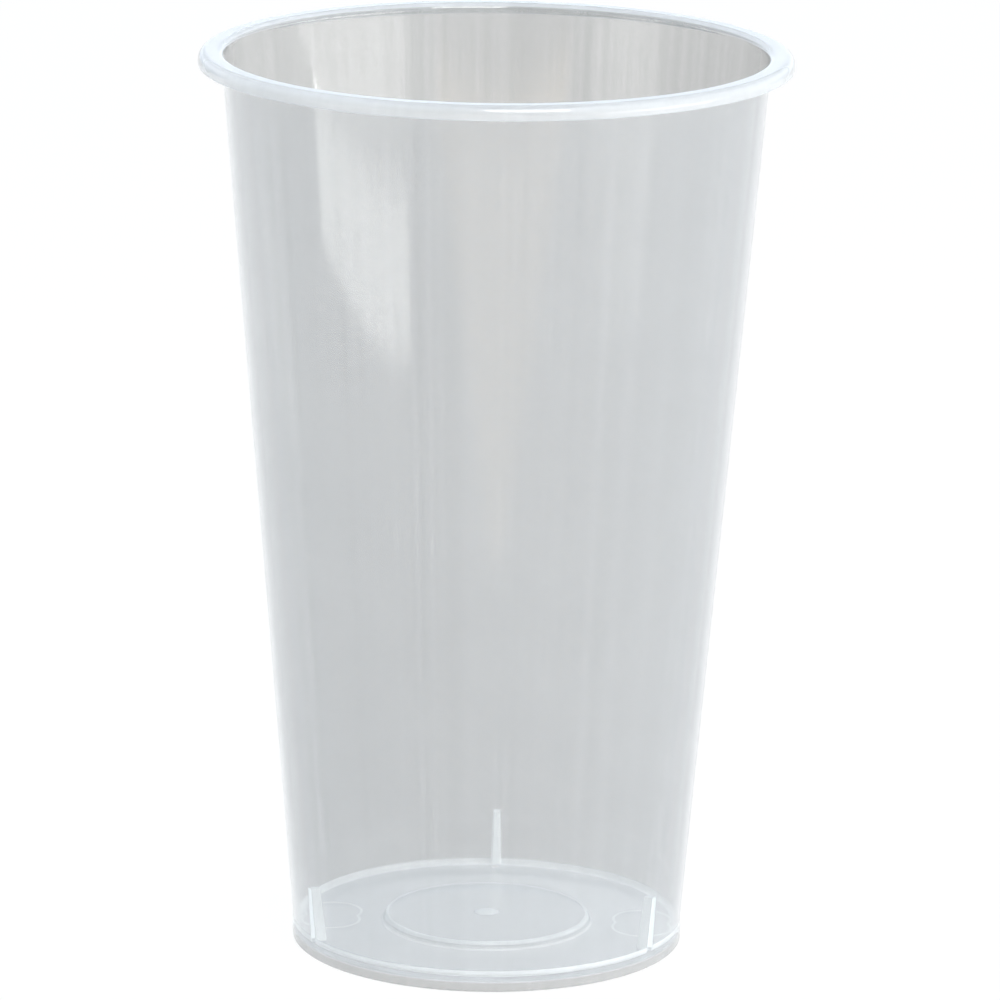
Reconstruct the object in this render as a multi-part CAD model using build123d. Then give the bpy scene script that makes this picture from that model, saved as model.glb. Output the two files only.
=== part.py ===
"""A half-litre drinks cup, injection-moulded in one shot from milky clear polypropylene.

The cup is one solid: a thin wall that leans outwards, a floor held off the table by a foot ring,
a rim turned out and down into a stiff lip that a lid snaps over, and three ribs inside, low on
the wall, which stop a stacked cup before it jams.

Origin: the centre of the ring that the cup stands on. +Z goes up through the mouth, and +Y goes
through the first of the three ribs. All sizes are in millimetres.
"""

import os
from math import atan, cos

from build123d import *

# Overall sizes
RIM_DIAMETER = 90.0  # over the lip, the size that lids for such cups are made to
HEIGHT = 139.0
FOOT_DIAMETER = 60.1
FOOT_BAND_HEIGHT = 4.0  # the wall is upright up to here, so that stacked cups sit square
WALL_THICKNESS = 0.5

# Rim: a flange that turns out from the wall and then down, open underneath
RIM_WIDTH = 3.5  # from the wall's outer face to the lip's outer face
RIM_THICKNESS = 0.6
LIP_HEIGHT = 2.2  # from the rim's top to the lip's lower edge
LIP_THICKNESS = 0.6
RIM_OUTER_ROUNDING = 1.4
RIM_INNER_ROUNDING = 1.2
RIM_INSIDE_CHAMFER = 0.5  # in the hollow under the rim, which keeps the shoulder thick
LIP_EDGE_CHAMFER = 0.15

# Floor, foot ring and the raised disc around the place where the plastic came in
FLOOR_THICKNESS = 0.8
FOOT_RING_HEIGHT = 1.5  # from the table to the floor's underside
FOOT_RING_WIDTH = 0.9
FOOT_EDGE_CHAMFER = 0.3
FLOOR_CORNER_CHAMFER = 0.5  # inside, where the wall meets the floor
DISC_DIAMETER = 31.3
DISC_RISE = 1.2
DISC_STEP_WIDTH = 0.6
GATE_DOME_DIAMETER = 4.0
GATE_DOME_HEIGHT = 0.45
GATE_NUB_DIAMETER = 1.4
GATE_NUB_LENGTH = 0.5

# Stacking ribs, thinner and shallower towards the top so that they leave the mould
RIB_COUNT = 3
RIB_HEIGHT = 8.9  # above the floor
RIB_FOOT_DEPTH = 2.1
RIB_TOP_DEPTH = 1.5
RIB_FOOT_THICKNESS = 1.6
RIB_TOP_THICKNESS = 1.1
RIB_EDGE_ROUNDING = 0.3

# Two round hollows under the floor, one each side of the first rib's line
PAD_DIAMETER = 9.0
PAD_DEPTH = 0.15
PAD_CENTRE_RADIUS = 24.2
PAD_ANGLE = 85.0  # from the first rib, either way round

# Values worked out from the sizes above
FIRST_RIB_ANGLE = 90.0  # +Y
EDGE_LIMIT = 0.45  # the largest share of a wall that the rounding or chamfer of one edge may take
rim_radius = RIM_DIAMETER / 2
foot_radius = FOOT_DIAMETER / 2
neck_radius = rim_radius - RIM_WIDTH
neck_height = HEIGHT - RIM_THICKNESS
wall_lean = (neck_radius - foot_radius) / (neck_height - FOOT_BAND_HEIGHT)
wall_across = WALL_THICKNESS / cos(atan(wall_lean))
floor_top = FOOT_RING_HEIGHT + FLOOR_THICKNESS
disc_radius = DISC_DIAMETER / 2
foot_ring_bore = foot_radius - FOOT_RING_WIDTH


def outer_radius(z):
    """Radius of the wall's outer face at height z."""
    return foot_radius + max(z - FOOT_BAND_HEIGHT, 0) * wall_lean


def inner_radius(z):
    """Radius of the wall's inner face at height z."""
    return outer_radius(z) - wall_across


def limited(size, *walls):
    """The size of a rounding or chamfer, no larger than the walls beside it can take."""
    return min(size, *(EDGE_LIMIT * wall for wall in walls))


def underside():
    """Corners of the section under the floor, from the axis out to the foot ring."""
    disc_underside = FOOT_RING_HEIGHT + DISC_RISE
    nub_radius = GATE_NUB_DIAMETER / 2
    return [
        ((0, disc_underside - GATE_NUB_LENGTH), 0),
        ((nub_radius, disc_underside - GATE_NUB_LENGTH), 0),
        ((nub_radius, disc_underside), 0),
        ((disc_radius, disc_underside), 0),
        ((disc_radius + DISC_STEP_WIDTH, FOOT_RING_HEIGHT), 0),
        ((foot_ring_bore, FOOT_RING_HEIGHT), 0),
        ((foot_ring_bore, 0), 0),
    ]


def outside():
    """Corners up the outer face, from the table to the corner under the rim."""
    chamfer = limited(FOOT_EDGE_CHAMFER, FOOT_RING_WIDTH, FOOT_BAND_HEIGHT)
    return [
        ((foot_radius - chamfer, 0), 0),
        ((foot_radius, chamfer), 0),
        ((foot_radius, FOOT_BAND_HEIGHT), 0),
        ((neck_radius, neck_height), 0),
    ]


def rim():
    """Corners of the rim, from its hollow underside round the lip to the mouth."""
    lip_bore = rim_radius - LIP_THICKNESS
    lip_bottom = HEIGHT - LIP_HEIGHT
    edge = limited(LIP_EDGE_CHAMFER, LIP_THICKNESS)
    hollow = limited(RIM_INSIDE_CHAMFER, LIP_HEIGHT - RIM_THICKNESS, RIM_WIDTH - LIP_THICKNESS)
    shoulder = min(RIM_OUTER_ROUNDING, LIP_HEIGHT - 2 * edge)
    return [
        ((lip_bore - hollow, neck_height), 0),
        ((lip_bore, neck_height - hollow), 0),
        ((lip_bore, lip_bottom), 0),
        ((rim_radius - edge, lip_bottom), 0),
        ((rim_radius, lip_bottom + edge), 0),
        ((rim_radius, HEIGHT), shoulder),
        ((inner_radius(HEIGHT), HEIGHT), min(RIM_INNER_ROUNDING, RIM_WIDTH - shoulder)),
    ]


def inside():
    """Corners down the inner face and over the floor, back to the axis."""
    dome_radius = GATE_DOME_DIAMETER / 2
    corner = limited(FLOOR_CORNER_CHAMFER, FOOT_BAND_HEIGHT - floor_top)
    return [
        ((inner_radius(FOOT_BAND_HEIGHT), FOOT_BAND_HEIGHT), 0),
        ((inner_radius(floor_top), floor_top + corner), 0),
        ((inner_radius(floor_top) - corner, floor_top), 0),
        ((disc_radius + DISC_STEP_WIDTH, floor_top), 0),
        ((disc_radius, floor_top + DISC_RISE), 0),
        ((dome_radius, floor_top + DISC_RISE), 0),
    ]


def make_shell():
    """The turned form: wall, floor, foot ring and rim, as one section revolved about the axis."""
    corners = underside() + outside() + rim() + inside()
    disc_top = floor_top + DISC_RISE
    dome_edge = (GATE_DOME_DIAMETER / 2, disc_top)
    dome_crown = (0, disc_top + GATE_DOME_HEIGHT)
    with BuildPart() as shell:
        with BuildSketch(Plane.XZ):
            with BuildLine():
                points = [point for point, _ in corners]
                roundings = [rounding for _, rounding in corners]
                FilletPolyline(*points, radius=roundings[1:-1])
                TangentArc(dome_crown, dome_edge, tangent=(1, 0))
                Line(dome_crown, points[0])
            make_face()
        revolve(axis=Axis.Z)
    return shell.part


def rib_plan(z, depth, thickness):
    """Plan of a rib at height z, from the middle of the wall inwards, along +X."""
    innermost = inner_radius(z) - depth
    outermost = outer_radius(z) - wall_across / 2
    length = outermost - innermost
    with BuildSketch(Plane.XY.offset(z)) as plan:
        with Locations((innermost + length / 2, 0)):
            Rectangle(length, thickness)
        inner_corners = plan.vertices().group_by(Axis.X)[0]
        fillet(inner_corners, limited(RIB_EDGE_ROUNDING, thickness, depth))
    return plan.sketch


def make_rib():
    """One stacking rib, lofted from its foot in the floor to its flat top."""
    foot = rib_plan(floor_top - FLOOR_THICKNESS / 2, RIB_FOOT_DEPTH, RIB_FOOT_THICKNESS)
    top = rib_plan(floor_top + RIB_HEIGHT, RIB_TOP_DEPTH, RIB_TOP_THICKNESS)
    return loft([foot, top])


def make_pad():
    """The tool for one round hollow under the floor, at the pads' radius along +X."""
    height = 2 * PAD_DEPTH
    centre = Pos(PAD_CENTRE_RADIUS, 0, FOOT_RING_HEIGHT)
    return centre * Cylinder(PAD_DIAMETER / 2, height)


def make_cup():
    """The whole cup: the turned shell with its ribs added and its pads taken out."""
    cup = make_shell()
    for index in range(RIB_COUNT):
        cup += Rot(Z=FIRST_RIB_ANGLE + index * 360 / RIB_COUNT) * make_rib()
    for side in (-1, 1):
        cup -= Rot(Z=FIRST_RIB_ANGLE + side * PAD_ANGLE) * make_pad()
    return cup


cup = make_cup()
print("cup volume, cm3:", round(cup.volume / 1000, 2))
print("stacking step, mm:", round(floor_top + RIB_HEIGHT, 2))

os.makedirs("parts", exist_ok=True)
export_step(cup, "parts/cup.step")
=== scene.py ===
# %% [markdown]
# A half-litre drinks cup, moulded in one shot from milky clear polypropylene.
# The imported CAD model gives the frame, the sizes and the places. This file makes the cup's fine
# mesh, its plastic, the light and the camera. The CAD cup stays in the file, hidden, because the
# fine mesh stands for it and has to stay inside its box.

import math

import bmesh
import bpy
from mathutils import Matrix, Vector


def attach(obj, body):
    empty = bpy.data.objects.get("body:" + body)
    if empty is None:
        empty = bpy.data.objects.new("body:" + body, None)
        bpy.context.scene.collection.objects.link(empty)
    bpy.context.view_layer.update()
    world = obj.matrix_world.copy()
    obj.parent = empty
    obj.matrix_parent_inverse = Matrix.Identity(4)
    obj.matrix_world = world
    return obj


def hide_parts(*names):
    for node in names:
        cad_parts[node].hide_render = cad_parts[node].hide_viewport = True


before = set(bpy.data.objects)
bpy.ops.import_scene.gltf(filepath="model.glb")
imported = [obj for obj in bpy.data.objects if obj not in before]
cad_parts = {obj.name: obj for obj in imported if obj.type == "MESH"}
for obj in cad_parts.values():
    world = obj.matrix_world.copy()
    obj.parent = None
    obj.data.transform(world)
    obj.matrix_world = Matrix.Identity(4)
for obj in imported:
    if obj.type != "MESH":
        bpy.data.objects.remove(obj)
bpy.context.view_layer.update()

# %% [markdown]
# The sizes are the CAD part's own, in millimetres. Blender works in metres, so each is multiplied
# by MM where it is used. The roundings are finer than in the CAD part, which has small chamfers
# at the same places: a clear plastic edge shows its rounding as a thin bright line.

# %% Sizes, in millimetres
MM = 0.001
# The height and the rim are a hair under the CAD part's 139 and 45, because its facets cut the
# circle short and the fine cup has to stay inside their box.
HEIGHT = 138.99
RIM_RADIUS = 44.98
NECK_RADIUS = 41.5
NECK_HEIGHT = 138.4
FOOT_RADIUS = 30.05
FOOT_BAND_HEIGHT = 4.0  # the wall is upright up to here
WALL_THICKNESS = 0.5
WALL_LEAN = (NECK_RADIUS - FOOT_RADIUS) / (NECK_HEIGHT - FOOT_BAND_HEIGHT)
WALL_ACROSS = WALL_THICKNESS / math.cos(math.atan(WALL_LEAN))
LIP_BORE = 44.4
LIP_BOTTOM = 136.8
FLOOR_UNDERSIDE = 1.5
FLOOR_TOP = 2.3
FOOT_RING_BORE = 29.15
DISC_RADIUS = 15.65
DISC_RISE = 1.2
DISC_STEP = 0.6
GATE_DOME_RADIUS = 2.0
GATE_DOME_HEIGHT = 0.45
GATE_NUB_RADIUS = 0.7
GATE_NUB_LENGTH = 0.5


def outer_radius(z):
    """Radius of the wall's outer face at height z."""
    return FOOT_RADIUS + max(z - FOOT_BAND_HEIGHT, 0) * WALL_LEAN


def inner_radius(z):
    """Radius of the wall's inner face at height z."""
    return outer_radius(z) - WALL_ACROSS


print("wall lean, degrees:", round(math.degrees(math.atan(WALL_LEAN)), 2))

# %% [markdown]
# The mould's halves are turned on a lathe, so the cup is a turned form too. Its section is drawn
# first, as a chain of edges from the axis under the floor, out round the foot, up the outside,
# over the rim and back down the inside. Each corner has its rounding beside it. A cylinder with
# its ends pulled about could give the outline, but not the hollow rim and the true thickness.

# %% The section's corners: radius, height, rounding
# The dome over the gate is a piece of a ball. Its shoulder is where the tangents to the ball at
# the crown and at the dome's edge meet.
dome_ball = (GATE_DOME_RADIUS**2 + GATE_DOME_HEIGHT**2) / (2 * GATE_DOME_HEIGHT)
dome_shoulder = dome_ball * math.tan(math.asin(GATE_DOME_RADIUS / dome_ball) / 2)
disc_underside = FLOOR_UNDERSIDE + DISC_RISE
disc_top = FLOOR_TOP + DISC_RISE

SECTION = [
    (0, disc_underside - GATE_NUB_LENGTH, 0),
    (GATE_NUB_RADIUS, disc_underside - GATE_NUB_LENGTH, 0.15),
    (GATE_NUB_RADIUS, disc_underside, 0.15),
    (DISC_RADIUS, disc_underside, 0.4),
    (DISC_RADIUS + DISC_STEP, FLOOR_UNDERSIDE, 0.3),
    (FOOT_RING_BORE, FLOOR_UNDERSIDE, 0.35),
    (FOOT_RING_BORE, 0, 0.2),
    (FOOT_RADIUS, 0, 0.35),
    (FOOT_RADIUS, FOOT_BAND_HEIGHT, 8.0),
    (NECK_RADIUS, NECK_HEIGHT, 0.5),
    (LIP_BORE, NECK_HEIGHT, 0.5),
    (LIP_BORE, LIP_BOTTOM, 0.2),
    (RIM_RADIUS, LIP_BOTTOM, 0.25),
    (RIM_RADIUS, HEIGHT, 1.4),
    (inner_radius(HEIGHT), HEIGHT, 1.2),
    (inner_radius(FOOT_BAND_HEIGHT), FOOT_BAND_HEIGHT, 6.0),
    (inner_radius(FLOOR_TOP), FLOOR_TOP, 0.6),
    (DISC_RADIUS + DISC_STEP, FLOOR_TOP, 0.3),
    (DISC_RADIUS, disc_top, 0.3),
    (GATE_DOME_RADIUS, disc_top, 0.1),
    (dome_shoulder, disc_top + GATE_DOME_HEIGHT, 0.9 * dome_ball),
    (0, disc_top + GATE_DOME_HEIGHT, 0),
]
print("corners in the section:", len(SECTION))

# %% [markdown]
# Edit-mode operators act on what is selected, so a few helpers select by place.

# %% Helpers that select by place
TOUCH = 0.01  # mm, within which a point counts as being at a place


def clear_selection():
    """Leaves nothing selected, in object mode."""
    if bpy.context.object and bpy.context.object.mode != "OBJECT":
        bpy.ops.object.mode_set(mode="OBJECT")
    bpy.ops.object.select_all(action="DESELECT")


def open_for_editing(piece):
    """Makes one piece the only selected one and opens it in edit mode."""
    clear_selection()
    piece.select_set(True)
    bpy.context.view_layer.objects.active = piece
    bpy.ops.object.mode_set(mode="EDIT")


def select_points(piece, wanted):
    """Selects the points whose place, in millimetres, the function wanted says yes to."""
    bpy.ops.mesh.select_all(action="DESELECT")
    form = bmesh.from_edit_mesh(piece.data)
    for point in form.verts:
        point.select = wanted(point.co / MM)
    form.select_flush(True)
    bmesh.update_edit_mesh(piece.data)
    return sum(point.select for point in form.verts)


def select_edges(piece, wanted):
    """Selects the edges whose two ends, in millimetres, the function wanted says yes to."""
    bpy.ops.mesh.select_mode(type="EDGE")
    bpy.ops.mesh.select_all(action="DESELECT")
    form = bmesh.from_edit_mesh(piece.data)
    for edge in form.edges:
        edge.select = wanted(edge.verts[0].co / MM, edge.verts[1].co / MM)
    bmesh.update_edit_mesh(piece.data)
    return sum(edge.select for edge in form.edges)


# %% [markdown]
# A wire is begun from a plane merged to one point, and each corner is one extrusion on from the
# last. A bevel then rounds each corner, as a lathe tool's nose rounds the corner of the mould. The
# length that the bevel takes from each side follows from the rounding and from how sharply the
# section turns there.

# %% Draw the section and round its corners
DEGREES_A_FACET = 11  # of a rounding's turn


def draw_wire(name, corners):
    """A chain of edges through the corners, in the plane y = 0."""
    clear_selection()
    bpy.ops.mesh.primitive_plane_add(size=MM)
    wire = bpy.context.object
    wire.name = wire.data.name = name
    bpy.ops.object.mode_set(mode="EDIT")
    bpy.ops.mesh.select_all(action="SELECT")
    bpy.ops.mesh.merge(type="CENTER")
    bpy.ops.mesh.select_all(action="SELECT")
    here = Vector((corners[0][0], 0, corners[0][1])) * MM
    bpy.ops.transform.translate(value=here)
    for radius, height, _ in corners[1:]:
        there = Vector((radius, 0, height)) * MM
        bpy.ops.mesh.extrude_region_move(TRANSFORM_OT_translate={"value": there - here})
        here = there
    return wire


def round_corner(wire, before, corner, after):
    """Rounds one corner of the wire by bevelling its point."""
    radius, height, rounding = corner
    place = Vector((radius, 0, height))
    to_last = (Vector((before[0], 0, before[1])) - place).normalized()
    to_next = (Vector((after[0], 0, after[1])) - place).normalized()
    turn = math.pi - to_last.angle(to_next)
    setback = rounding * math.tan(turn / 2)
    found = select_points(wire, lambda point: (point - place).length < TOUCH)
    if found != 1:
        raise ValueError(f"{found} points at the corner {corner}")
    facets = max(2, round(math.degrees(turn) / DEGREES_A_FACET))
    bpy.ops.mesh.bevel(
        offset=setback * MM, offset_type="OFFSET", segments=facets, profile=0.5, affect="VERTICES"
    )


cup = draw_wire("moulded_cup", SECTION)
for before, corner, after in zip(SECTION, SECTION[1:], SECTION[2:]):
    if corner[2] > 0:
        round_corner(cup, before, corner, after)
print("points in the rounded section:", len(bmesh.from_edit_mesh(cup.data).verts))

# %% [markdown]
# The two long edges of the wall are cut into short ones, so that the turned faces stay compact.
# Then the section is spun once round the axis. The seam and the poles close when doubles are
# merged, and the normals are made to point out of the plastic.

# %% Spin the section into the cup
WALL_CUTS = 40
LONG_EDGE = 100.0
TURN_STEPS = 288  # a multiple of three, so that each rib meets the same facets
MERGE_DISTANCE = 0.0005

long_edges = select_edges(cup, lambda a, b: (a - b).length > LONG_EDGE)
bpy.ops.mesh.subdivide(number_cuts=WALL_CUTS)
bpy.ops.mesh.select_mode(type="VERT")
bpy.ops.mesh.select_all(action="SELECT")
bpy.ops.mesh.spin(
    steps=TURN_STEPS, angle=math.tau, center=(0, 0, 0), axis=(0, 0, 1), use_auto_merge=True
)
bpy.ops.mesh.select_all(action="SELECT")
bpy.ops.mesh.remove_doubles(threshold=MERGE_DISTANCE * MM)
bpy.ops.mesh.normals_make_consistent(inside=False)
bpy.ops.object.mode_set(mode="OBJECT")
print("long edges cut:", long_edges, "- faces in the turned cup:", len(cup.data.polygons))

# %% [markdown]
# Three short ribs inside stop a stacked cup before it jams. Each is a small block, drawn in
# towards its top so that it leaves the mould, with rounded edges. One is made from a cube shaped
# in edit mode, and three copies of it are joined to the wall by Booleans, as one moulding.

# %% Model one stacking rib
RIB_COUNT = 3
RIB_HEIGHT, RIB_ROOT = 8.9, 0.4  # above the floor, and down into it
RIB_TOP, RIB_SEAT = FLOOR_TOP + RIB_HEIGHT, FLOOR_TOP - RIB_ROOT
RIB_FOOT_DEPTH, RIB_FOOT_THICKNESS = 2.1, 1.6
RIB_HEAD_DEPTH, RIB_HEAD_THICKNESS = 1.5, 1.1
RIB_SIDE_ROUNDING, RIB_TOP_ROUNDING = 0.3, 0.12
FIRST_RIB_ANGLE = math.radians(90)


def rib_plan(z, depth, thickness):
    """Radii of a rib's inner and outer faces at height z, and its thickness. The outer face lies
    in the middle of the wall."""
    return inner_radius(z) - depth, outer_radius(z) - WALL_ACROSS / 2, thickness


def add_rib():
    """The rib on the +X side: a block whose foot and head have their own depth and thickness."""
    clear_selection()
    inner, outer, thickness = rib_plan(RIB_SEAT, RIB_FOOT_DEPTH, RIB_FOOT_THICKNESS)
    middle = Vector(((inner + outer) / 2, 0, (RIB_SEAT + RIB_TOP) / 2))
    bpy.ops.mesh.primitive_cube_add(size=MM, location=middle * MM)
    rib = bpy.context.object
    rib.scale = (outer - inner, thickness, RIB_TOP - RIB_SEAT)
    bpy.ops.object.transform_apply(location=True, rotation=True, scale=True)
    open_for_editing(rib)
    select_points(rib, lambda point: point.z > RIB_TOP - TOUCH)
    head_inner, head_outer, head_thickness = rib_plan(
        RIB_TOP, RIB_HEAD_DEPTH, RIB_HEAD_THICKNESS
    )
    head_middle = (head_inner + head_outer) / 2
    bpy.ops.transform.resize(
        value=((head_outer - head_inner) / (outer - inner), head_thickness / thickness, 1),
        center_override=(middle.x * MM, 0, RIB_TOP * MM),
    )
    bpy.ops.transform.translate(value=((head_middle - middle.x) * MM, 0, 0))
    return rib


rib = add_rib()
print("points in the rib's block:", len(bmesh.from_edit_mesh(rib.data).verts))

# %% [markdown]
# The rib's two inner upright edges get the larger rounding, and the edges round its top, except
# the one inside the wall, a smaller one.

# %% Round the rib's edges
RIB_MIDDLE = 29.0  # a radius between the rib's inner and outer faces
UPRIGHT_LENGTH = 5.0  # an edge that rises by more than this is an upright one
HEAD_OUTER_FACE = rib_plan(RIB_TOP, RIB_HEAD_DEPTH, RIB_HEAD_THICKNESS)[1]

uprights = select_edges(
    rib,
    lambda a, b: max(a.x, b.x) < RIB_MIDDLE and abs(a.z - b.z) > UPRIGHT_LENGTH,
)
bpy.ops.mesh.bevel(
    offset=RIB_SIDE_ROUNDING * MM, offset_type="OFFSET", segments=4, profile=0.5
)
rims = select_edges(
    rib,
    lambda a, b: min(a.z, b.z) > RIB_TOP - TOUCH and min(a.x, b.x) < HEAD_OUTER_FACE - TOUCH,
)
bpy.ops.mesh.bevel(
    offset=RIB_TOP_ROUNDING * MM, offset_type="OFFSET", segments=3, profile=0.5
)
bpy.ops.mesh.select_mode(type="VERT")
bpy.ops.object.mode_set(mode="OBJECT")
print("edges rounded on the rib:", uprights, "upright and", rims, "at the top")

# %% [markdown]
# The rib is modelled on the +X side and turned to its place, with the turn put into its mesh.

# %% Copy the rib round the axis
ribs = []
for index in range(RIB_COUNT):
    clear_selection()
    rib.select_set(True)
    bpy.context.view_layer.objects.active = rib
    bpy.ops.object.duplicate()
    copy = bpy.context.object
    copy.rotation_euler.z = FIRST_RIB_ANGLE + index * math.tau / RIB_COUNT
    bpy.ops.object.transform_apply(location=True, rotation=True, scale=True)
    ribs.append(copy)
bpy.data.objects.remove(rib)
print("ribs:", len(ribs))

# %% [markdown]
# Under the floor, one each side of the first rib's line, the mould leaves a shallow round hollow.
# It is a flat cylinder, a little narrower at its top, taken out of the floor.

# %% Round hollows under the floor
PAD_RADIUS = 4.5
PAD_DEPTH = 0.15
PAD_CENTRE_RADIUS = 24.2
PAD_ANGLE = math.radians(85)
PAD_SIDES = 96
PAD_TAPER = 0.985  # of its width, at the top

pads = []
for side in (-1, 1):
    clear_selection()
    angle = FIRST_RIB_ANGLE + side * PAD_ANGLE
    bpy.ops.mesh.primitive_cylinder_add(
        vertices=PAD_SIDES,
        radius=PAD_RADIUS * MM,
        depth=2 * PAD_DEPTH * MM,
        location=(
            PAD_CENTRE_RADIUS * math.cos(angle) * MM,
            PAD_CENTRE_RADIUS * math.sin(angle) * MM,
            FLOOR_UNDERSIDE * MM,
        ),
    )
    pad = bpy.context.object
    open_for_editing(pad)
    select_points(pad, lambda point: point.z > 0)
    bpy.ops.transform.resize(value=(PAD_TAPER, PAD_TAPER, 1), center_override=pad.location)
    bpy.ops.object.mode_set(mode="OBJECT")
    bpy.ops.object.transform_apply(location=True, rotation=True, scale=True)
    pads.append(pad)
print("hollows under the floor:", len(pads))

# %% [markdown]
# Cup, ribs and hollows are one moulding, so Booleans join them. Then the open edges are counted
# and the plastic's volume is printed. Smooth shading would spread the turn at each rounding over
# the flat face beside it, and clear plastic shows that as a smudge. So the normals are weighted,
# and the large faces keep theirs.

# %% Join the ribs to the cup and take the hollows out
SHARP_ANGLE = math.radians(35)


def combine(piece, tool, operation):
    """Joins the tool to the piece or takes it out of it, and deletes the tool."""
    clear_selection()
    piece.select_set(True)
    bpy.context.view_layer.objects.active = piece
    cut = piece.modifiers.new("combine", "BOOLEAN")
    cut.operation = operation
    cut.solver = "EXACT"
    cut.object = tool
    bpy.ops.object.modifier_apply(modifier=cut.name)
    bpy.data.objects.remove(tool)


for rib in ribs:
    combine(cup, rib, "UNION")
for pad in pads:
    combine(cup, pad, "DIFFERENCE")

open_for_editing(cup)
bpy.ops.mesh.select_all(action="SELECT")
bpy.ops.mesh.remove_doubles(threshold=MERGE_DISTANCE * MM)
bpy.ops.mesh.normals_make_consistent(inside=False)
bpy.ops.mesh.select_all(action="DESELECT")
bpy.ops.mesh.select_non_manifold()
form = bmesh.from_edit_mesh(cup.data)
print("open or doubled edges:", sum(edge.select for edge in form.edges))
volume = form.calc_volume() / MM**3
print("volume of the plastic, cm3:", round(volume / 1000, 2))
bpy.ops.object.mode_set(mode="OBJECT")
bpy.ops.object.shade_smooth_by_angle(angle=SHARP_ANGLE)
even_out = cup.modifiers.new("flat faces stay flat", "WEIGHTED_NORMAL")
even_out.mode = "FACE_AREA"
even_out.keep_sharp = True
bpy.ops.object.modifier_apply(modifier=even_out.name)

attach(cup, "root")
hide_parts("cup")

# %% [markdown]
# Materials are node trees. One function adds a node with its settings and its links, and another
# turns a colour written as on a colour chart (sRGB hex) into the linear numbers that Blender uses.


# %% Helpers for materials
def linear(code):
    """An sRGB hex colour as linear red, green and blue, with a full alpha."""
    channels = [int(code[place : place + 2], 16) / 255 for place in (1, 3, 5)]
    turned = [c / 12.92 if c <= 0.04045 else ((c + 0.055) / 1.055) ** 2.4 for c in channels]
    return (*turned, 1.0)


def add(tree, kind, inputs=None, **settings):
    """Adds a node. inputs gives each input a value, a node's output, or a node, which stands for
    its first output."""
    node = tree.nodes.new(kind)
    for name, value in settings.items():
        setattr(node, name, value)
    for socket, value in (inputs or {}).items():
        if isinstance(value, bpy.types.Node):
            value = value.outputs[0]
        if isinstance(value, bpy.types.NodeSocket):
            tree.links.new(value, node.inputs[socket])
        else:
            node.inputs[socket].default_value = value
    return node


# %% [markdown]
# Polypropylene (PP), injection-moulded. The plastic is clear but full of tiny crystals, so a wall
# half a millimetre thick lets much of the light straight through, dims it a little and scatters
# the rest: a milky, faintly blue grey. The more plastic there is, the whiter it looks, so the rim,
# the ribs, the corner round the floor and the gate stand out pale. A volume would do this, but it
# renders slowly and doesn't export. Here each point is given a share of milk by its place: its
# height, its distance from the axis, and its depth, which is how far it lies inside the wall's
# outer face. The same shares also paint highlights white: thin bright lines at the corner, the
# gate, the disc's edge and step and the hollows' edges, where light bent in the plastic shows.

# %% Polypropylene: the place of each point, in millimetres
polypropylene = bpy.data.materials.new("polypropylene_injection_moulded")
polypropylene.use_nodes = True
tree = polypropylene.node_tree
tree.nodes.clear()

place = add(tree, "ShaderNodeTexCoord").outputs["Object"]
in_mm = add(tree, "ShaderNodeVectorMath", {0: place, "Scale": 1 / MM}, operation="SCALE")
height = add(tree, "ShaderNodeSeparateXYZ", {0: in_mm}).outputs["Z"]
flat = add(tree, "ShaderNodeVectorMath", {0: in_mm, 1: (1, 1, 0)}, operation="MULTIPLY")
radius = add(tree, "ShaderNodeVectorMath", {0: flat}, operation="LENGTH").outputs["Value"]
outer_face = add(
    tree,
    "ShaderNodeMapRange",
    {0: height, 1: FOOT_BAND_HEIGHT, 2: NECK_HEIGHT, 3: FOOT_RADIUS, 4: NECK_RADIUS},
)
depth = add(tree, "ShaderNodeMath", {0: outer_face, 1: radius}, operation="SUBTRACT")

# The middle of the floor's thickness, which the disc lifts: its top face lies above it.
middle = (FLOOR_TOP + FLOOR_UNDERSIDE) / 2
floor_middle = add(
    tree,
    "ShaderNodeMapRange",
    {0: radius, 1: DISC_RADIUS, 2: DISC_RADIUS + DISC_STEP, 3: middle + DISC_RISE, 4: middle},
)
over_middle = add(tree, "ShaderNodeMath", {0: height, 1: floor_middle}, operation="SUBTRACT")
print("nodes for the place:", len(tree.nodes))

# %% [markdown]
# Each place with more plastic, and each place with a painted highlight, gets a mask, a number that
# goes from 0 to 1 over a short stretch. A Map Range node makes one (its inputs are value, from,
# to, here in millimetres), and masks are multiplied where both have to hold. First come the floor,
# the ribs and the corner round the floor, whose white is partly painted highlight. The floor and
# the ribs lie further in than the wall's inner face.

# %% Polypropylene: masks for the floor, the ribs and the corner
is_top_side = add(tree, "ShaderNodeMapRange", {0: over_middle, 1: -0.1, 2: 0.1})
is_inside = add(tree, "ShaderNodeMapRange", {0: depth, 1: 0.52, 2: 0.6})
is_floor = add(tree, "ShaderNodeMath", {0: is_top_side, 1: is_inside}, operation="MULTIPLY")

is_beside_wall = add(tree, "ShaderNodeMapRange", {0: radius, 1: 26.6, 2: 27.0})
is_above_floor = add(tree, "ShaderNodeMapRange", {0: height, 1: 2.5, 2: 2.9})
is_rib = add(tree, "ShaderNodeMath", {0: is_beside_wall, 1: is_above_floor}, operation="MULTIPLY")
is_rib = add(tree, "ShaderNodeMath", {0: is_rib, 1: is_inside}, operation="MULTIPLY")

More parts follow.
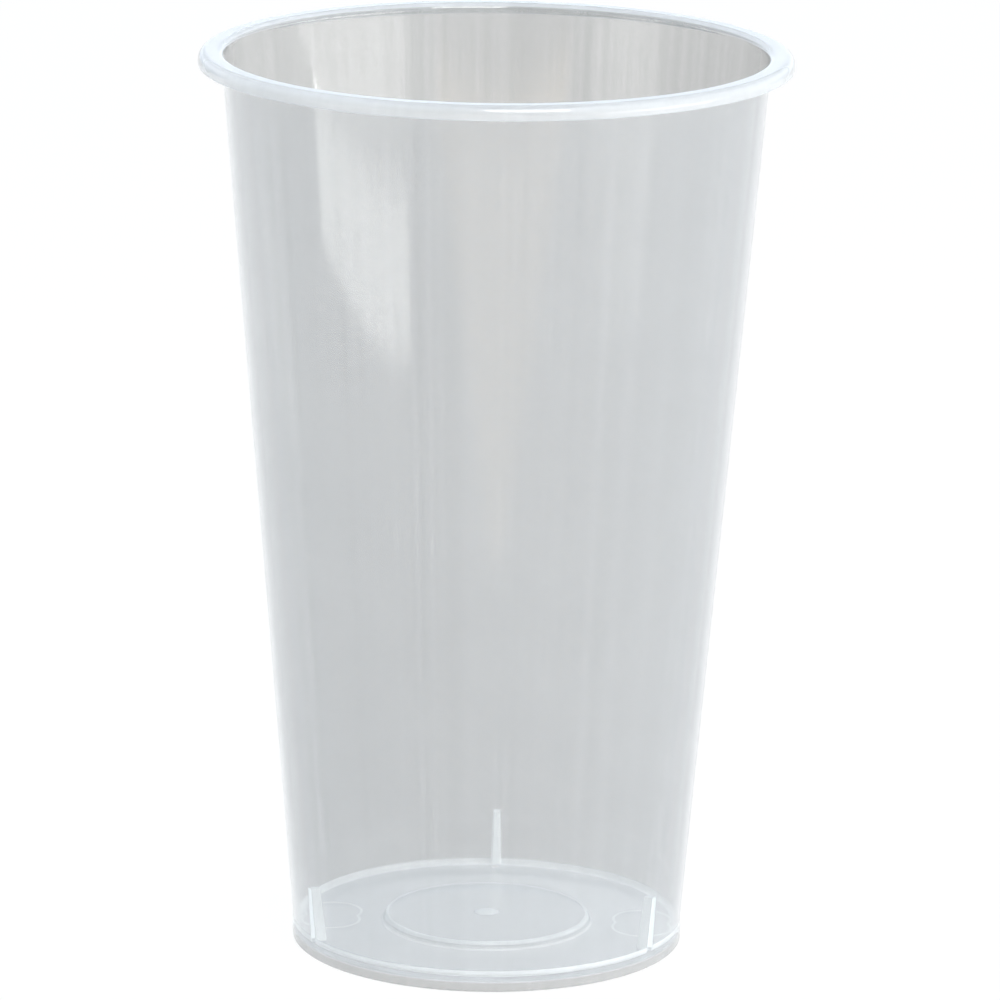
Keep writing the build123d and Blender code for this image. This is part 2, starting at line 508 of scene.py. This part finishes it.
# The corner's mask carries thick milk and a painted highlight, for the bright line its rounding
# makes.
is_near_wall = add(tree, "ShaderNodeMapRange", {0: depth, 1: 1.25, 2: 1.1})
is_low = add(tree, "ShaderNodeMapRange", {0: height, 1: 3.4, 2: 3.2})
is_inner_face = add(tree, "ShaderNodeMapRange", {0: depth, 1: 0.2, 2: 0.3})
is_corner_milk_and_highlight = add(tree, "ShaderNodeMath", {0: is_near_wall, 1: is_low}, operation="MULTIPLY")
is_corner_milk_and_highlight = add(tree, "ShaderNodeMath", {0: is_corner_milk_and_highlight, 1: is_top_side}, operation="MULTIPLY")
is_corner_milk_and_highlight = add(tree, "ShaderNodeMath", {0: is_corner_milk_and_highlight, 1: is_inner_face}, operation="MULTIPLY")

# %% [markdown]
# The disc's edge, the foot of its step, the gate and the edge of each hollow are told by how far a
# point is from a circle. Their white is painted highlight, for the thin bright lines that light
# makes there; the gate's is partly thick milk too. Both hollows are one when X is taken without
# its sign.

# %% Polypropylene: masks for the painted highlights at the disc, the gate and the hollows
RING_EDGE = DISC_RADIUS - 0.1  # the middle of the disc's rounded edge
RING_FOOT = DISC_RADIUS + DISC_STEP
from_edge = add(tree, "ShaderNodeMath", {0: radius, 1: RING_EDGE}, operation="SUBTRACT")
from_edge = add(tree, "ShaderNodeMath", {0: from_edge}, operation="ABSOLUTE")
is_disc_edge_highlight = add(tree, "ShaderNodeMapRange", {0: from_edge, 1: 0.42, 2: 0.28})
from_foot = add(tree, "ShaderNodeMath", {0: radius, 1: RING_FOOT}, operation="SUBTRACT")
from_foot = add(tree, "ShaderNodeMath", {0: from_foot}, operation="ABSOLUTE")
is_disc_foot_highlight = add(tree, "ShaderNodeMapRange", {0: from_foot, 1: 0.2, 2: 0.1})
is_gate_milk_and_highlight = add(tree, "ShaderNodeMapRange", {0: radius, 1: 2.1, 2: 1.8})

one_side = add(tree, "ShaderNodeVectorMath", {0: flat}, operation="ABSOLUTE")
pad_centre = (PAD_CENTRE_RADIUS * math.sin(PAD_ANGLE), PAD_CENTRE_RADIUS * math.cos(PAD_ANGLE), 0)
from_pad = add(
    tree, "ShaderNodeVectorMath", {0: one_side, 1: pad_centre}, operation="DISTANCE"
).outputs["Value"]
from_pad = add(tree, "ShaderNodeMath", {0: from_pad, 1: PAD_RADIUS}, operation="SUBTRACT")
from_pad = add(tree, "ShaderNodeMath", {0: from_pad}, operation="ABSOLUTE")
is_pad_edge_highlight = add(tree, "ShaderNodeMapRange", {0: from_pad, 1: 0.28, 2: 0.14})

# %% [markdown]
# The lip stands out past the wall's outer face, so its depth is below zero. The rim's flange is
# told by its height, and the foot ring by its height and by its place outside its own bore.

# %% Polypropylene: masks for the rim and the foot ring
is_lip = add(tree, "ShaderNodeMapRange", {0: depth, 1: -0.05, 2: -0.3})
is_rim = add(tree, "ShaderNodeMapRange", {0: height, 1: 137.9, 2: 138.5})
is_at_table = add(tree, "ShaderNodeMapRange", {0: height, 1: 1.6, 2: 1.3})
is_wall_foot = add(tree, "ShaderNodeMapRange", {0: radius, 1: 29.0, 2: 29.1})
is_foot_ring = add(
    tree, "ShaderNodeMath", {0: is_at_table, 1: is_wall_foot}, operation="MULTIPLY"
)
print("nodes with the masks:", len(tree.nodes))

# %% [markdown]
# The share of milk is the share of the light that the plastic scatters. The wall's milk is all on
# its outer face, so that the inner face stays clear and what stands inside the cup shows sharply.
# In the floor it is all on the top face. At the disc's edge and step, the hollows' edges, the gate
# and the corner the share also paints highlights white. Where more than one mask holds, the
# largest share counts.

# %% Polypropylene: how much milk, and painted highlight, each part of the cup shows
WALL_MILK_SHARE = 0.24
INNER_MILK_SHARE = 0.02
THICK_MILK_AND_HIGHLIGHT_SHARE = 0.95
FLOOR_MILK_SHARE = 0.42
CORNER_MILK_AND_HIGHLIGHT_SHARE = 0.8
RIM_MILK_SHARE = 0.4
# The disc's foot and the hollows' edges are not thicker: their share paints highlights.
DISC_FOOT_HIGHLIGHT_SHARE = 0.68
PAD_EDGE_HIGHLIGHT_SHARE = 0.9
FOOT_RING_MILK_SHARE = 0.3

milk_and_highlight_share = add(
    tree, "ShaderNodeMapRange", {0: is_inner_face, 3: WALL_MILK_SHARE, 4: INNER_MILK_SHARE}
)
for mask, share, on_floor in (
    (is_floor, FLOOR_MILK_SHARE, False),
    (is_rib, THICK_MILK_AND_HIGHLIGHT_SHARE, False),
    (is_corner_milk_and_highlight, CORNER_MILK_AND_HIGHLIGHT_SHARE, False),
    (is_lip, RIM_MILK_SHARE, False),
    (is_rim, RIM_MILK_SHARE, False),
    (is_disc_edge_highlight, THICK_MILK_AND_HIGHLIGHT_SHARE, True),
    (is_gate_milk_and_highlight, THICK_MILK_AND_HIGHLIGHT_SHARE, True),
    (is_disc_foot_highlight, DISC_FOOT_HIGHLIGHT_SHARE, True),
    (is_pad_edge_highlight, PAD_EDGE_HIGHLIGHT_SHARE, True),
    (is_foot_ring, FOOT_RING_MILK_SHARE, False),
):
    part = add(tree, "ShaderNodeMath", {0: mask, 1: share}, operation="MULTIPLY")
    if on_floor:
        part = add(tree, "ShaderNodeMath", {0: part, 1: is_floor}, operation="MULTIPLY")
    milk_and_highlight_share = add(tree, "ShaderNodeMath", {0: milk_and_highlight_share, 1: part}, operation="MAXIMUM")
clear_share = add(tree, "ShaderNodeMath", {0: 1.0, 1: milk_and_highlight_share}, operation="SUBTRACT")
print("milk, from", INNER_MILK_SHARE, "on the inner face to", THICK_MILK_AND_HIGHLIGHT_SHARE, "in the ribs")

# %% [markdown]
# The polished steel mould leaves its fine polishing lines on the plastic. They run up the wall,
# about a millimetre apart, and show as faint streaks in the milk and in what the wall mirrors.
# They are a flat noise read round the axis, so each runs straight up, and soft clouds make the
# milk uneven.

# %% Polypropylene: polishing lines and clouds
WALL_GREY = linear("#F1F3F4")
WALL_GREY_DENSE = linear("#EAECED")
POLISH_LINE_WIDTH = 1.3  # mm, between two polishing lines of the mould
CLOUD_WIDTH = 14.0  # mm
CLOUD_LOW, CLOUD_HIGH = 0.3, 0.7  # how much the clouds add to the lines
UNEVEN_FROM, UNEVEN_TO = 0.7, 1.3  # lines and clouds together, from the pale grey to the dense
MEAN_RADIUS = (FOOT_RADIUS + NECK_RADIUS) / 2

outward = add(tree, "ShaderNodeVectorMath", {0: flat}, operation="NORMALIZE")
around = add(tree, "ShaderNodeVectorMath", {0: outward, "Scale": MEAN_RADIUS}, operation="SCALE")
lines = add(
    tree,
    "ShaderNodeTexNoise",
    {"Vector": around, "Scale": 1 / POLISH_LINE_WIDTH, "Detail": 1.0, "Roughness": 0.6},
    noise_dimensions="2D",
)
clouds = add(
    tree,
    "ShaderNodeTexNoise",
    {"Vector": in_mm, "Scale": 1 / CLOUD_WIDTH, "Detail": 1.0, "Roughness": 0.5},
)
clouds = add(tree, "ShaderNodeMapRange", {0: clouds, 3: CLOUD_LOW, 4: CLOUD_HIGH})
uneven = add(tree, "ShaderNodeMath", {0: lines, 1: clouds}, operation="ADD")
uneven = add(tree, "ShaderNodeMapRange", {0: uneven, 1: UNEVEN_FROM, 2: UNEVEN_TO})
wall_grey = add(
    tree,
    "ShaderNodeMix",
    {"Factor": uneven, "A": WALL_GREY, "B": WALL_GREY_DENSE},
    data_type="RGBA",
).outputs["Result"]
print("polishing lines round the wall: about", round(math.tau * MEAN_RADIUS / POLISH_LINE_WIDTH))

# %% [markdown]
# The plastic also dims what shines through it, a little by itself and more as painted shade: the
# grey darkens the white backdrop seen through the cup to a shaded room's grey. The wall's inner
# face carries it, because a grey there leaves the milk on the outer face as bright as it is. The
# rim and the foot ring take a part of that painted shade, the foot ring for the shaded floor under
# the cup, and where the milk is thick, or a highlight is painted, the colour turns to its white.

# %% Polypropylene: its colours
# The inner grey is partly the plastic's own dimming and partly painted shade of a darker room seen
# through it.
INNER_SHADE_GREY = linear("#C5C2BE")
RIM_SHADE_PART = 0.4  # of the inner grey, in the rim
FOOT_SHADE_PART = 0.65  # and in the foot ring
# This white goes on thick milk and also on the painted highlights.
THICK_AND_HIGHLIGHT_WHITE = linear("#F8FBFB")

is_under_floor = add(tree, "ShaderNodeMapRange", {0: radius, 1: 29.1, 2: 29.0})
is_shade_dimmed = add(
    tree,
    "ShaderNodeMath",
    {0: is_inner_face, 1: is_under_floor},
    operation="SUBTRACT",
    use_clamp=True,
)
for mask, share in (
    (is_lip, RIM_SHADE_PART),
    (is_rim, RIM_SHADE_PART),
    (is_foot_ring, FOOT_SHADE_PART),
):
    part = add(tree, "ShaderNodeMath", {0: mask, 1: share}, operation="MULTIPLY")
    is_shade_dimmed = add(tree, "ShaderNodeMath", {0: is_shade_dimmed, 1: part}, operation="MAXIMUM")
wall_colour = add(
    tree,
    "ShaderNodeMix",
    {"Factor": is_shade_dimmed, "A": wall_grey, "B": INNER_SHADE_GREY},
    data_type="RGBA",
    blend_type="MULTIPLY",
).outputs["Result"]
whiteness = add(
    tree, "ShaderNodeMapRange", {0: milk_and_highlight_share, 1: WALL_MILK_SHARE, 2: THICK_MILK_AND_HIGHLIGHT_SHARE}
)
milk = add(
    tree,
    "ShaderNodeMix",
    {"Factor": whiteness, "A": wall_colour, "B": THICK_AND_HIGHLIGHT_WHITE},
    data_type="RGBA",
).outputs["Result"]
print("nodes with the colours:", len(tree.nodes))

# %% [markdown]
# Polypropylene has an IOR of 1.49, and a polished mould gives it a glossy skin, so its roughness
# is low. The polishing lines are about 0.3 thousandths of a millimetre deep, enough to make what
# the wall mirrors waver. Their relief fades out down the wall, as it does on the real cup.

# %% Polypropylene: its skin
PP_IOR = 1.49
PP_ROUGHNESS = 0.04
GLOSS_LOW, GLOSS_HIGH = 0.7 * PP_ROUGHNESS, 1.3 * PP_ROUGHNESS  # along the polishing lines
POLISH_LINE_DEPTH = 0.0003  # mm
RELIEF_FROM, RELIEF_TO = 50.0, 135.0  # mm, heights between which the relief grows to its full

is_high_up = add(tree, "ShaderNodeMapRange", {0: height, 1: RELIEF_FROM, 2: RELIEF_TO})
wall_lines = add(tree, "ShaderNodeMath", {0: lines, 1: is_high_up}, operation="MULTIPLY")
skin = add(
    tree,
    "ShaderNodeBump",
    {"Height": wall_lines, "Strength": 1.0, "Distance": POLISH_LINE_DEPTH * MM},
).outputs["Normal"]
gloss = add(tree, "ShaderNodeMapRange", {0: lines, 3: GLOSS_LOW, 4: GLOSS_HIGH})
plastic = add(
    tree,
    "ShaderNodeBsdfPrincipled",
    {
        "Base Color": milk,
        "Roughness": gloss,
        "IOR": PP_IOR,
        "Transmission Weight": clear_share,
        "Normal": skin,
    },
)
print("roughness, from", round(GLOSS_LOW, 3), "to", round(GLOSS_HIGH, 3))

# %% [markdown]
# Cycles lets no lamp shine straight through glass, so a clear cup would stand in its own full
# shadow and be dark inside. For the rays that look for lamps, a plain clear film takes the
# plastic's place. It lets through as much as the real wall does, so the cup's shadow is pale too.

# %% Polypropylene: light from the lamps
LAMP_LIGHT_THROUGH_FACE = linear("#F3F4F5")
ray = add(tree, "ShaderNodeLightPath")
film = add(tree, "ShaderNodeBsdfTransparent", {"Color": LAMP_LIGHT_THROUGH_FACE})
body = add(
    tree, "ShaderNodeMixShader", {0: ray.outputs["Is Shadow Ray"], 1: plastic, 2: film}
)
add(tree, "ShaderNodeOutputMaterial", {"Surface": body})
cup.data.materials.clear()
cup.data.materials.append(polypropylene)
print("nodes in the plastic:", len(tree.nodes))

# %% [markdown]
# The cup stands on a wide white sheet. For the camera, and in reflections and through the
# plastic, the sheet is almost wholly paper white by itself, and the small rest is lit as usual,
# so that the cup still leaves a faint shadow round its foot. The sheet ends a little over half a
# metre in front of the cup, and the cup's back wall mirrors what lies beyond that edge.

# %% White floor
SHEET_FRONT = 0.58  # m, from the cup to the sheet's edge on the camera's side
SHEET_BACK = 9.0  # m, from the cup to its far edge
SHEET_HALF_WIDTH = 6.0  # m
SHEET_WHITE = linear("#F4F4F4")
SHADOW_SHARE = 0.08  # of the floor's look that follows the light

clear_selection()
bpy.ops.mesh.primitive_plane_add(size=1, location=(0, (SHEET_BACK - SHEET_FRONT) / 2, 0))
sheet = bpy.context.object
sheet.name = "floor"
sheet.scale = (2 * SHEET_HALF_WIDTH, SHEET_BACK + SHEET_FRONT, 1)
bpy.ops.object.transform_apply(location=True, rotation=True, scale=True)
white_sheet = bpy.data.materials.new("white_paper_sheet")
white_sheet.use_nodes = True
tree = white_sheet.node_tree
tree.nodes.clear()
paper = add(tree, "ShaderNodeBsdfDiffuse", {"Color": SHEET_WHITE})
glow = add(tree, "ShaderNodeEmission", {"Color": (1, 1, 1, 1), "Strength": 1.0})
ray = add(tree, "ShaderNodeLightPath")
seen = add(
    tree,
    "ShaderNodeMath",
    {0: ray.outputs["Is Camera Ray"], 1: ray.outputs["Is Glossy Ray"]},
    operation="ADD",
)
seen = add(
    tree,
    "ShaderNodeMath",
    {0: seen, 1: ray.outputs["Is Transmission Ray"]},
    operation="ADD",
    use_clamp=True,
)
glow_share = add(tree, "ShaderNodeMath", {0: seen, 1: 1 - SHADOW_SHARE}, operation="MULTIPLY")
look = add(tree, "ShaderNodeMixShader", {0: glow_share, 1: paper, 2: glow})
add(tree, "ShaderNodeOutputMaterial", {"Surface": look})
sheet.data.materials.append(white_sheet)
print("sheet, m:", [round(side, 2) for side in sheet.dimensions])

# %% [markdown]
# The light is a studio's. The room is bright, most of all at its sides, and dark behind the
# camera. Beyond the sheet lies a wedge of warm lit table, which the back wall mirrors as a long
# warm V under the dark mouth. The room is a world shader: it reads each ray's direction as two
# slopes, one up and one sideways, for each metre that the ray goes towards the camera's side.
# First the wedge is found, which is the table's warm part and the dark room above it.

# %% Room light: where each ray goes
WEDGE_FROM, WEDGE_TO = -0.095, -0.028  # slopes up, between which the wedge widens
WEDGE_HALF_WIDTH = 0.58  # at its widest, as a slope to one side
WEDGE_SOFTNESS = 0.04
LEAST_AHEAD = 0.01  # keeps the slopes from being divided by zero

world = bpy.data.worlds.new("studio")
bpy.context.scene.world = world
world.use_nodes = True
tree = world.node_tree
tree.nodes.clear()
direction = add(tree, "ShaderNodeTexCoord").outputs["Generated"]
direction = add(tree, "ShaderNodeSeparateXYZ", {0: direction})
ahead = add(tree, "ShaderNodeMath", {0: direction.outputs["Y"], 1: -1.0}, operation="MULTIPLY")
ahead = add(tree, "ShaderNodeMath", {0: ahead, 1: LEAST_AHEAD}, operation="MAXIMUM")
sideways = add(
    tree, "ShaderNodeMath", {0: direction.outputs["X"], 1: ahead}, operation="DIVIDE"
)
sideways = add(tree, "ShaderNodeMath", {0: sideways}, operation="ABSOLUTE")
# A ray that goes the other way, past the cup, counts as far to one side, so it misses the wedge.
is_behind = add(tree, "ShaderNodeMapRange", {0: direction.outputs["Y"], 2: 0.02, 4: 5.0})
sideways = add(tree, "ShaderNodeMath", {0: sideways, 1: is_behind}, operation="ADD")
slope = add(tree, "ShaderNodeMath", {0: direction.outputs["Z"], 1: ahead}, operation="DIVIDE")
half_width = add(
    tree,
    "ShaderNodeMapRange",
    {0: slope, 1: WEDGE_FROM, 2: WEDGE_TO, 3: -WEDGE_SOFTNESS, 4: WEDGE_HALF_WIDTH},
)
within = add(tree, "ShaderNodeMath", {0: half_width, 1: sideways}, operation="SUBTRACT")
is_wedge = add(
    tree, "ShaderNodeMapRange", {0: within, 1: -WEDGE_SOFTNESS, 2: 2 * WEDGE_SOFTNESS}
)
print("nodes for the wedge:", len(tree.nodes))

# %% [markdown]
# Then each part gets its colour and its strength. The camera itself sees none of this but a plain
# white backdrop, as in a catalogue picture.

# %% Room light: colours and strengths
ROOM_LIGHT = linear("#D8E1EC")
TABLE_WHITE = linear("#FFFFFF")  # where the table goes on beyond the sheet
WARM_LOW = linear("#FFE9CC")  # the lit table in the wedge
DARK_HIGH = linear("#3E3A38")  # the room behind the camera
ROOM_STRENGTH = 1.05
SIDE_STRENGTH = 1.6  # at both sides, where the room has its windows
WARM_STRENGTH = 4.2
TABLE_FROM, TABLE_TO = -0.005, -0.02  # how far down a ray goes where room gives way to table
HIGH_FROM, HIGH_TO = -0.022, -0.015  # slopes up, where the warm table gives way to the dark room
SIDE_FROM, SIDE_TO = 0.7, 2.0  # slopes to one side, where the sides begin and are brightest

is_table = add(
    tree, "ShaderNodeMapRange", {0: direction.outputs["Z"], 1: TABLE_FROM, 2: TABLE_TO}
)
is_high = add(tree, "ShaderNodeMapRange", {0: slope, 1: HIGH_FROM, 2: HIGH_TO})
light_side = add(
    tree,
    "ShaderNodeMix",
    {"Factor": is_table, "A": ROOM_LIGHT, "B": TABLE_WHITE},
    data_type="RGBA",
).outputs["Result"]
wedge = add(
    tree,
    "ShaderNodeMix",
    {"Factor": is_high, "A": WARM_LOW, "B": DARK_HIGH},
    data_type="RGBA",
).outputs["Result"]
room_colour = add(
    tree,
    "ShaderNodeMix",
    {"Factor": is_wedge, "A": light_side, "B": wedge},
    data_type="RGBA",
).outputs["Result"]
is_warm = add(
    tree, "ShaderNodeMath", {0: is_wedge, 1: is_high}, operation="SUBTRACT", use_clamp=True
)
is_side = add(tree, "ShaderNodeMapRange", {0: sideways, 1: SIDE_FROM, 2: SIDE_TO})
strength = add(
    tree, "ShaderNodeMapRange", {0: is_side, 3: ROOM_STRENGTH, 4: SIDE_STRENGTH}
)
strength = add(
    tree, "ShaderNodeMapRange", {0: is_warm, 3: strength, 4: WARM_STRENGTH}
)
room = add(tree, "ShaderNodeBackground", {"Color": room_colour, "Strength": strength})
backdrop = add(tree, "ShaderNodeBackground", {"Color": (1, 1, 1, 1), "Strength": 1.0})
ray = add(tree, "ShaderNodeLightPath")
seen_room = add(
    tree, "ShaderNodeMixShader", {0: ray.outputs["Is Camera Ray"], 1: room, 2: backdrop}
)
add(tree, "ShaderNodeOutputWorld", {"Surface": seen_room})
print("nodes in the room light:", len(tree.nodes))

# %% [markdown]
# Tall panels stand on the table at both sides, and a softbox hangs overhead. The panel on the
# right shows as the long pale band inside the wall on the left, and is brightest near the table.
# Its ends were placed where the band's two edges, mirrored in the wall, point.

# %% Panels and softbox
CAMERA_TURN = math.radians(2.9)  # of the camera round the cup, from in front of the first rib
LOW_PART_TOP, PANEL_TOP = 0.055, 0.3  # m
RIGHT_START, RIGHT_LOW_END, RIGHT_END = (0.836, -0.962), (1.23, -0.025), (1.30, 0.14)
LEFT_START, LEFT_END = (-1.01, -0.254), (-1.5, -1.6)
RIGHT_LOW_RADIANCE, RIGHT_RADIANCE, LEFT_RADIANCE = 12.5, 3.4, 2.0
SOFTBOX_PLACE = Vector((0.3, -0.9, 1.3))
SOFTBOX_SIDE, SOFTBOX_RADIANCE = 0.7, 8.2


def add_panel(name, start, end, bottom, top, radiance):
    """An upright soft panel that stands between two points of the table, given in metres as the
    camera sees it: X to its right, Y away from it. A radiance of 1 is paper white."""
    start = Matrix.Rotation(CAMERA_TURN, 2) @ Vector(start)
    end = Matrix.Rotation(CAMERA_TURN, 2) @ Vector(end)
    middle = (start + end) / 2
    add_lamp(
        name,
        Vector((*middle, (bottom + top) / 2)),
        Vector((end.y - start.y, start.x - end.x, 0)),
        (end - start).length,
        top - bottom,
        radiance,
    )


def add_lamp(name, place, facing, width, height, radiance):
    """A flat soft lamp whose light leaves it along facing, or against it, towards the axis."""
    lamp = bpy.data.lights.new(name, "AREA")
    lamp.shape = "RECTANGLE"
    lamp.size, lamp.size_y = width, height
    lamp.energy = radiance * math.pi * width * height
    print(name, "gives", round(lamp.energy, 2), "W")
    holder = bpy.data.objects.new(name, lamp)
    bpy.context.scene.collection.objects.link(holder)
    if facing.dot(place) > 0:
        facing = -facing
    holder.location = place
    holder.rotation_mode = "QUATERNION"
    holder.rotation_quaternion = facing.to_track_quat("-Z", "Y")


add_panel("panel_right_low", RIGHT_START, RIGHT_LOW_END, 0.0, LOW_PART_TOP, RIGHT_LOW_RADIANCE)
add_panel("panel_right", RIGHT_START, RIGHT_END, LOW_PART_TOP, PANEL_TOP, RIGHT_RADIANCE)
add_panel("panel_left", LEFT_START, LEFT_END, 0.0, PANEL_TOP, LEFT_RADIANCE)
add_lamp(
    "softbox_above", SOFTBOX_PLACE, SOFTBOX_PLACE, SOFTBOX_SIDE, SOFTBOX_SIDE, SOFTBOX_RADIANCE
)

# %% [markdown]
# The camera was worked out from the photograph, from the ellipse of the rim, the wall's outline,
# the foot and the ring in the floor. It stands about a metre away and looks down on the cup.

# %% Camera
CAMERA_DISTANCE = 1059.76  # mm, from the axis
CAMERA_HEIGHT = 333.07  # mm
CAMERA_PITCH = 0.24396  # radians, down
CAMERA_YAW = 0.00123  # radians, to the right
CAMERA_ROLL = 0.01197  # radians
SENSOR_WIDTH = 36.0  # mm
PHOTO_WIDTH = 1000  # pixels
FOCAL_LENGTH = 7140.9  # pixels
CLIP_START, CLIP_END = 0.05, 50  # m

camera = bpy.data.objects.new("camera", bpy.data.cameras.new("camera"))
bpy.context.scene.collection.objects.link(camera)
camera.data.sensor_width = SENSOR_WIDTH
camera.data.lens = FOCAL_LENGTH * SENSOR_WIDTH / PHOTO_WIDTH
camera.data.clip_start, camera.data.clip_end = CLIP_START, CLIP_END
stand = Matrix.Rotation(CAMERA_TURN, 4, "Z") @ Vector(
    (0, -CAMERA_DISTANCE * MM, CAMERA_HEIGHT * MM)
)
aim = (
    Matrix.Rotation(CAMERA_TURN - CAMERA_YAW, 4, "Z")
    @ Matrix.Rotation(math.pi / 2 - CAMERA_PITCH, 4, "X")
    @ Matrix.Rotation(CAMERA_ROLL, 4, "Z")
)
camera.matrix_world = Matrix.Translation(stand) @ aim
bpy.context.scene.camera = camera
bpy.context.scene.view_settings.view_transform = "Standard"
print("lens, mm:", round(camera.data.lens, 2))

# %% [markdown]
# Light bounces many times between the faces of clear plastic, both through them and off them. A
# path that is cut short ends dark, in the corners most of all, so mirror bounces are allowed as
# often as clear ones. Cycles also blurs what is lit through glass, by its Filter Glossy setting,
# which would dim the inside of the cup. Its light tree, a way to pick among very many lamps, only
# costs time with four.

# %% Light paths through the plastic
CLEAR_BOUNCES = 12
cycles = bpy.context.scene.cycles
cycles.max_bounces = cycles.glossy_bounces = cycles.transmission_bounces = CLEAR_BOUNCES
cycles.blur_glossy = 0.0
cycles.use_light_tree = False
print("bounces allowed:", CLEAR_BOUNCES)
